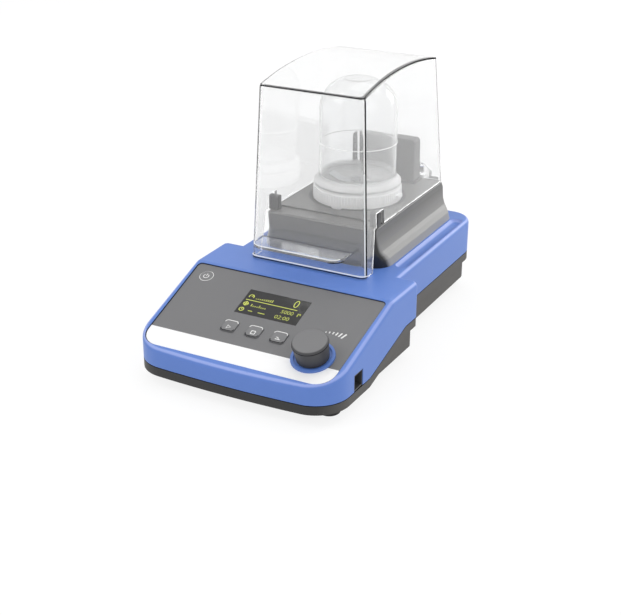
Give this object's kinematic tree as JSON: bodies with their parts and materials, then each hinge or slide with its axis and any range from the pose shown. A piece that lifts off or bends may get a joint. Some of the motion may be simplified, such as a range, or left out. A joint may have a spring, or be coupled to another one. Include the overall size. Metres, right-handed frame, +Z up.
{
  "type": "laboratory tube mill",
  "caption": "Bench mill for disposable grinding tubes, with a sloping control console, a hinged clear hood over an upright tube and a bladed drive below it.",
  "frame": {"origin": "middle of the footprint, on the bench", "axes": "+X to the operator's right, +Y to the back, +Z up"},
  "size_m": [0.1624, 0.2816, 0.1971],
  "materials": {
    "housing_blue": "satin",
    "tray_dark": "matt",
    "block_grey": "satin",
    "foot_rubber": "matt",
    "dark_plastic": "matt",
    "clear_hood": "clear polished",
    "clear_tube": "clear polished",
    "white_lid": "translucent",
    "screw_steel": "bright",
    "motor_steel": "satin",
    "motor_iron": "plain",
    "bearing_steel": "polished",
    "plate_aluminium": "mill finish",
    "drive_brass": "machined",
    "seal_rubber": "matt",
    "fan_plastic": "matt",
    "foil_grey": "satin print",
    "key_grey": "matt",
    "window_glass": "clear",
    "board_green": "lacquered",
    "capacitor_sleeve": "gloss",
    "knob_grey": "matt",
    "encoder_steel": "bright"
  },
  "bodies": {
    "base": {"top_shell": "housing_blue", "knob_collar": "housing_blue", "base_tray": "tray_dark", "mill_block": "block_grey", "foot_front_left": "foot_rubber", "foot_front_right": "foot_rubber", "foot_rear_left": "foot_rubber", "foot_rear_right": "foot_rubber", "sensor_tower": "dark_plastic", "guide_left": "dark_plastic", "guide_right": "dark_plastic", "hinge_post_left": "dark_plastic", "hinge_post_right": "dark_plastic", "tube_socket": "dark_plastic", "dc_inlet": "dark_plastic", "side_port": "dark_plastic", "display_module": "dark_plastic", "encoder_body": "dark_plastic", "key_switches": "dark_plastic", "case_screws": "screw_steel", "block_screws": "screw_steel", "motor_screws": "screw_steel", "board_screws": "screw_steel", "power_screws": "screw_steel", "hinge_pins": "screw_steel", "motor_can": "motor_steel", "motor_end_cap": "motor_steel", "motor_stator": "motor_iron", "motor_bearings": "bearing_steel", "motor_plate": "plate_aluminium", "heat_sink": "plate_aluminium", "shaft_seal": "seal_rubber", "motor_dampers": "seal_rubber", "panel_foil": "foil_grey", "display_window": "window_glass", "control_board": "board_green", "power_board": "board_green", "hood_sensor_board": "board_green", "capacitors": "capacitor_sleeve"},
    "hood": {"hood": "clear_hood"},
    "tube": {"tube_lid": "white_lid", "lid_seal": "seal_rubber", "blade_bush": "drive_brass"},
    "dome": {"tube_dome": "clear_tube"},
    "blade": {"blade_spindle": "screw_steel", "blade": "screw_steel", "blade_nut": "screw_steel"},
    "rotor": {"motor_rotor": "motor_iron", "motor_shaft": "screw_steel", "cooling_fan": "fan_plastic", "drive_dog": "drive_brass"},
    "knob_plunger": {"encoder_plunger": "encoder_steel"},
    "knob": {"knob": "knob_grey", "encoder_shaft": "encoder_steel"},
    "key_left": {"key_left": "key_grey"},
    "key_middle": {"key_middle": "key_grey"},
    "key_right": {"key_right": "key_grey"},
    "power_key": {"power_key": "key_grey"}
  },
  "joints": [
    {"name": "hood_hinge", "type": "hinge", "parent": "base", "child": "hood", "pos_m": [0, 0.12895, 0.084], "axis": [-1, 0, 0], "range_deg": [0, 100]},
    {"name": "tube_lift", "type": "slide", "parent": "base", "child": "tube", "axis": [0, 0, 1], "range_m": [0, 0.009]},
    {"name": "dome_screw", "type": "hinge", "parent": "tube", "child": "dome", "pos_m": [0, 0.05515, 0.09], "axis": [0, 0, 1], "continuous": true},
    {"name": "spindle_spin", "type": "hinge", "parent": "base", "child": "rotor", "pos_m": [0, 0.05515, 0.05], "axis": [0, 0, 1], "continuous": true},
    {"name": "blade_spin", "type": "hinge", "parent": "tube", "child": "blade", "pos_m": [0, 0.05515, 0.09], "axis": [0, 0, 1], "continuous": true},
    {"name": "knob_push", "type": "slide", "parent": "base", "child": "knob_plunger", "axis": [0, 0.314, -0.9494], "range_m": [0, 0.0005], "stiffness_N_per_m": 900, "springref_m": -0.001},
    {"name": "knob_turn", "type": "hinge", "parent": "knob_plunger", "child": "knob", "pos_m": [0.0513, -0.11244, 0.0371], "axis": [0, -0.314, 0.9494], "continuous": true},
    {"name": "key_left_press", "type": "slide", "parent": "base", "child": "key_left", "axis": [0, 0.314, -0.9494], "range_m": [0, 0.0005], "stiffness_N_per_m": 700, "springref_m": -0.001},
    {"name": "key_middle_press", "type": "slide", "parent": "base", "child": "key_middle", "axis": [0, 0.314, -0.9494], "range_m": [0, 0.0005], "stiffness_N_per_m": 700, "springref_m": -0.001},
    {"name": "key_right_press", "type": "slide", "parent": "base", "child": "key_right", "axis": [0, 0.314, -0.9494], "range_m": [0, 0.0005], "stiffness_N_per_m": 700, "springref_m": -0.001},
    {"name": "power_key_press", "type": "slide", "parent": "base", "child": "power_key", "axis": [0, 0.314, -0.9494], "range_m": [0, 0.0005], "stiffness_N_per_m": 700, "springref_m": -0.001}
  ],
  "couplings": [
    {"joint": "blade_spin", "follows": "spindle_spin", "ratio": 1}
  ]
}
